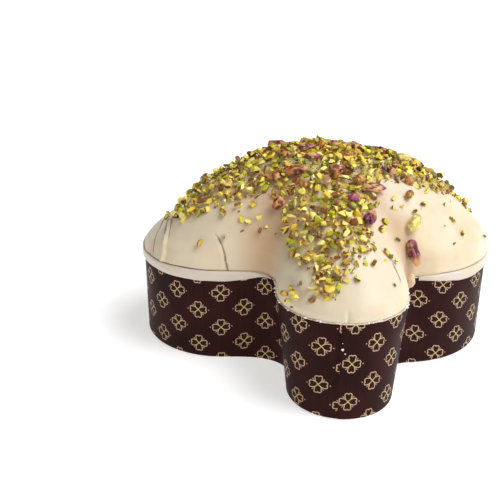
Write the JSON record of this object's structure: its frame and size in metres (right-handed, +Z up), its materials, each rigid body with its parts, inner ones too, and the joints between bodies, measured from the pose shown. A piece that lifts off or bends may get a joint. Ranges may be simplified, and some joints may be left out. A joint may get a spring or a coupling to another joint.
{
  "type": "colomba easter bread",
  "caption": "Dove-shaped festive cake in a printed paper case, domed, with a pale glaze, chopped pistachio and whole kernels on top.",
  "frame": {"origin": "on the underside, in the middle of the length and of the span", "axes": "+Z up, X from wing to wing with +X to the right as the picture shows it, -Y towards the head and +Y towards the tail"},
  "size_m": [0.2183, 0.2894, 0.1186],
  "materials": {
    "paper": "dark brown paper with a slight sheen, printed in pale gold",
    "bread": "soft matte crumb",
    "glaze": "satin cream glaze with chopped pistachio",
    "kernel_red": "dry wrinkled red-brown skin",
    "kernel_purple": "dry purple skin",
    "kernel_tan": "dry tan skin",
    "kernel_green": "pale green-yellow, cut or rubbed free of skin"
  },
  "bodies": {
    "root": {"paper_case": "paper", "bread": "bread", "icing": "glaze", "glaze_lip": "glaze", "kernel_01": "kernel_red", "kernel_02": "kernel_red", "kernel_03": "kernel_red", "kernel_04": "kernel_red", "kernel_05": "kernel_green", "kernel_06": "kernel_red", "kernel_07": "kernel_tan", "kernel_08": "kernel_tan", "kernel_09": "kernel_green", "kernel_10": "kernel_red", "kernel_11": "kernel_tan", "kernel_12": "kernel_green", "kernel_13": "kernel_tan", "kernel_14": "kernel_tan", "kernel_15": "kernel_purple", "kernel_16": "kernel_red", "kernel_17": "kernel_tan", "kernel_18": "kernel_green", "kernel_19": "kernel_purple", "kernel_20": "kernel_tan", "kernel_21": "kernel_purple", "kernel_22": "kernel_purple", "kernel_23": "kernel_green", "kernel_24": "kernel_red", "kernel_25": "kernel_tan", "kernel_26": "kernel_purple", "kernel_27": "kernel_red", "kernel_28": "kernel_tan", "kernel_29": "kernel_purple"}
  },
  "joints": []
}
